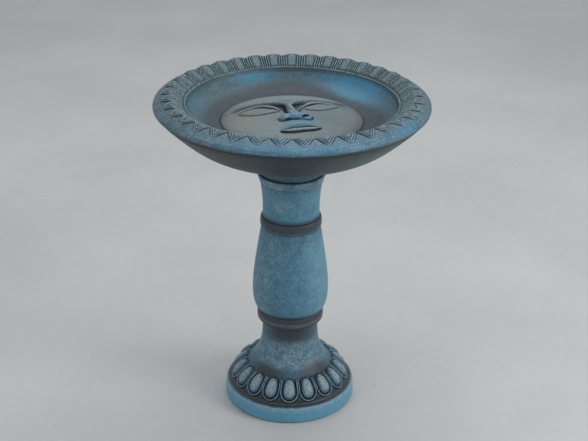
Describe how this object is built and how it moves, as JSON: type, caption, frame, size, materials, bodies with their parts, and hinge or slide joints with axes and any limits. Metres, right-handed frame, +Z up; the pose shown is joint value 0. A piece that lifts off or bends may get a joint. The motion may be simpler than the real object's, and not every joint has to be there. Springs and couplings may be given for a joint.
{
  "type": "bird bath",
  "caption": "Round bird bath: shallow basin with a petal rim and a relief face in its dish, twist-locked onto a turned hollow pedestal.",
  "frame": {"origin": "centre of the footprint on the floor, under the axis of the pedestal", "axes": "+Z up the pedestal's axis, -Y towards the chin of the relief face, +X to the right seen from the chin"},
  "size_m": [0.56, 0.56, 0.7],
  "materials": {
    "pedestal": "weathered slate-blue patina over cast resin stone, dark in the recesses",
    "basin_pan": "weathered slate-blue patina over cast resin stone, warm grey face",
    "basin_shell": "dark antiqued cast resin stone",
    "base_plate": "matt black moulded plastic",
    "ballast_plug": "soft black rubber",
    "foot_pads": "matt black rubber",
    "seat_ring": "matt black rubber",
    "lock_socket": "matt black nylon",
    "lock_spigot": "matt black nylon",
    "socket_screws": "stainless steel",
    "spigot_screws": "stainless steel",
    "base_plate_screws": "stainless steel"
  },
  "bodies": {
    "pedestal": {"pedestal": "pedestal", "base_plate": "base_plate", "base_plate_screws": "base_plate_screws", "foot_pads": "foot_pads", "lock_socket": "lock_socket", "socket_screws": "socket_screws"},
    "plug": {"ballast_plug": "ballast_plug"},
    "seat_ring": {"seat_ring": "seat_ring"},
    "basin": {"basin_pan": "basin_pan", "basin_shell": "basin_shell", "lock_spigot": "lock_spigot", "spigot_screws": "spigot_screws"}
  },
  "joints": [
    {"name": "basin_turn", "type": "hinge", "parent": "pedestal", "child": "seat_ring", "pos_m": [0, 0, 0.528], "axis": [0, 0, 1], "range_deg": [0, 30]},
    {"name": "basin_lift", "type": "slide", "parent": "seat_ring", "child": "basin", "axis": [0, 0, 1], "range_m": [0, 0.1]},
    {"name": "plug_pull", "type": "slide", "parent": "pedestal", "child": "plug", "axis": [0, 0, -1], "range_m": [0, 0.03]}
  ]
}
